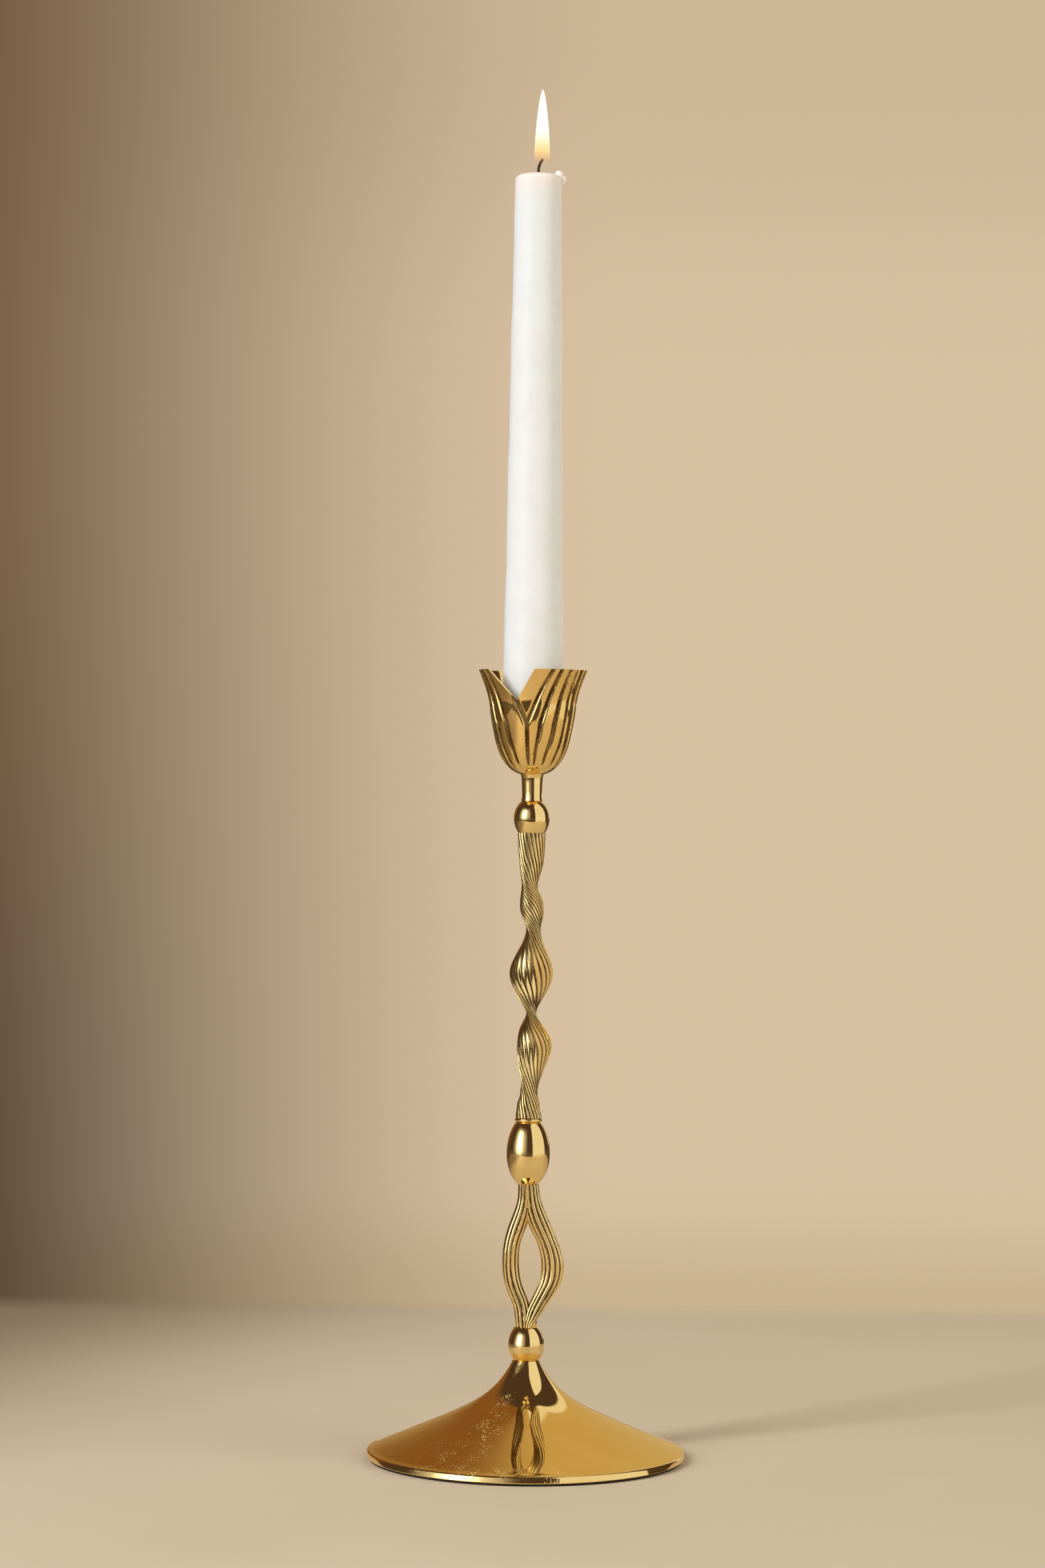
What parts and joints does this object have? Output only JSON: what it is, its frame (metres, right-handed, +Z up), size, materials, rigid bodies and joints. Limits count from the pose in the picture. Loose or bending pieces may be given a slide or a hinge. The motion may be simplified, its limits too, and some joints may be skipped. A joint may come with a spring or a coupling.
{
  "type": "candlestick",
  "caption": "Tall slender candlestick on a hollow cone base, with an open loop, an egg knop, a twisted reeded stem and a tulip cup that holds a taper candle.",
  "frame": {"origin": "centre of the felt's underside, on the surface the candlestick stands on", "axes": "+Z up along the stem and the candle, -Y towards the front, where the notch between the petals shows, +X to the right, on the side of the wider strand of the loop"},
  "size_m": [0.1194, 0.1194, 0.4876],
  "materials": {
    "cast_brass": "satin cast brass with a fine grain",
    "polished_brass": "polished",
    "reeded_brass": "polished reeds with rough cast grooves",
    "petal_brass": "polished veins with rough dark grooves",
    "steel": "zinc-plated fasteners",
    "felt": "pressed felt",
    "wax": "smooth white candle wax",
    "wick": "charred cotton braid"
  },
  "bodies": {
    "candlestick": {"base_shell": "cast_brass", "base_felt": "felt", "base_washer": "steel", "lock_washer": "steel", "base_screw": "steel", "lower_knop": "polished_brass", "loop_foot": "reeded_brass", "loop_left_strand": "reeded_brass", "loop_right_strand": "reeded_brass", "loop_crown": "reeded_brass", "egg_knop": "polished_brass", "egg_collar": "polished_brass", "egg_stud": "steel", "twist_stem": "reeded_brass", "upper_knop": "polished_brass", "neck_sleeve": "polished_brass", "tulip_cup": "petal_brass", "candle_socket": "polished_brass", "cup_screw": "steel"},
    "candle": {"candle_wax": "wax", "candle_wick": "wick"}
  },
  "joints": [
    {"name": "candle_lift", "type": "slide", "parent": "candlestick", "child": "candle", "axis": [0, 0, 1], "range_m": [0, 0.04]}
  ]
}
